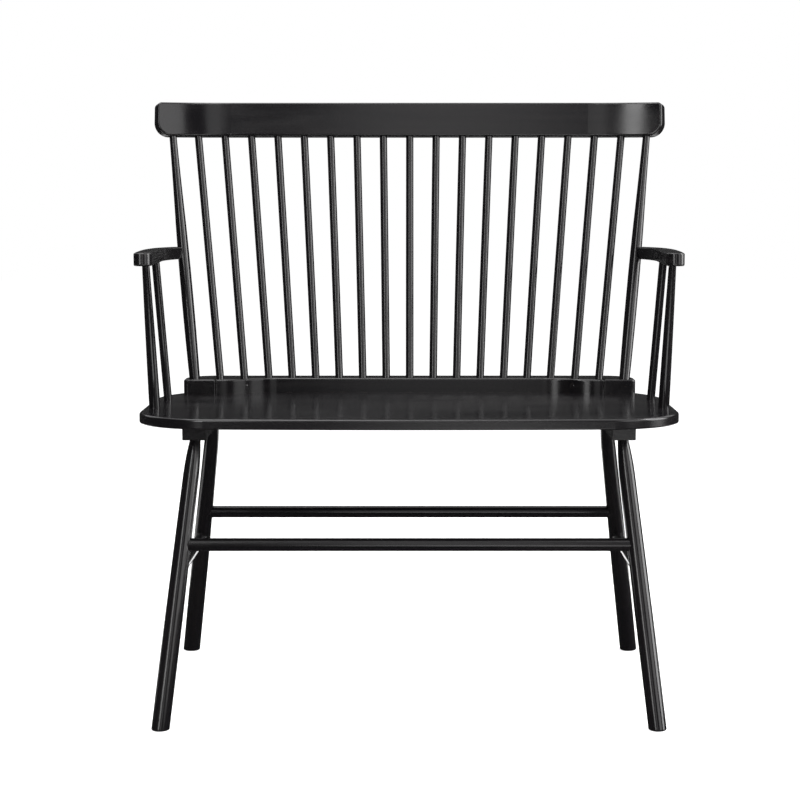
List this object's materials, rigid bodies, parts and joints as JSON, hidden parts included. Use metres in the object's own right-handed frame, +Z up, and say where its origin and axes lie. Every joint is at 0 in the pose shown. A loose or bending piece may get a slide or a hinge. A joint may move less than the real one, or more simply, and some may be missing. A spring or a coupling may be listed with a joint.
{
  "type": "deacons bench",
  "caption": "Spindle-back deacons bench: a plank seat on splayed turned legs with stretchers, open arms, and a fanned back under a curved crest rail.",
  "frame": {"origin": "on the floor, midway between the foremost and rearmost points of the feet and midway between the sides", "axes": "+X to the right of a viewer in front, +Y to the rear of the bench, +Z up"},
  "size_m": [0.8346, 0.5417, 0.9237],
  "materials": {
    "black_painted_wood": "satin black paint",
    "screw_steel": "zinc plated",
    "bare_hardwood": "bare"
  },
  "bodies": {
    "root": {"seat": "black_painted_wood", "lower_back_rail": "black_painted_wood", "crest_rail": "black_painted_wood", "front_stretcher": "black_painted_wood", "rear_stretcher": "black_painted_wood", "cleat_left": "black_painted_wood", "front_leg_left": "black_painted_wood", "rear_leg_left": "black_painted_wood", "side_stretcher_left": "black_painted_wood", "back_end_block_left": "black_painted_wood", "end_post_left": "black_painted_wood", "arm_left": "black_painted_wood", "arm_front_post_left": "black_painted_wood", "arm_spindle_left": "black_painted_wood", "cleat_right": "black_painted_wood", "front_leg_right": "black_painted_wood", "rear_leg_right": "black_painted_wood", "side_stretcher_right": "black_painted_wood", "back_end_block_right": "black_painted_wood", "end_post_right": "black_painted_wood", "arm_right": "black_painted_wood", "arm_front_post_right": "black_painted_wood", "arm_spindle_right": "black_painted_wood", "back_spindle_01": "black_painted_wood", "back_spindle_02": "black_painted_wood", "back_spindle_03": "black_painted_wood", "back_spindle_04": "black_painted_wood", "back_spindle_05": "black_painted_wood", "back_spindle_06": "black_painted_wood", "back_spindle_07": "black_painted_wood", "back_spindle_08": "black_painted_wood", "back_spindle_09": "black_painted_wood", "back_spindle_10": "black_painted_wood", "back_spindle_11": "black_painted_wood", "back_spindle_12": "black_painted_wood", "back_spindle_13": "black_painted_wood", "back_spindle_14": "black_painted_wood", "back_spindle_15": "black_painted_wood", "back_spindle_16": "black_painted_wood", "back_spindle_17": "black_painted_wood", "cleat_screws": "screw_steel", "rail_screws": "screw_steel", "arm_screws": "screw_steel", "crest_pins": "screw_steel", "rail_dowels": "bare_hardwood"}
  },
  "joints": []
}
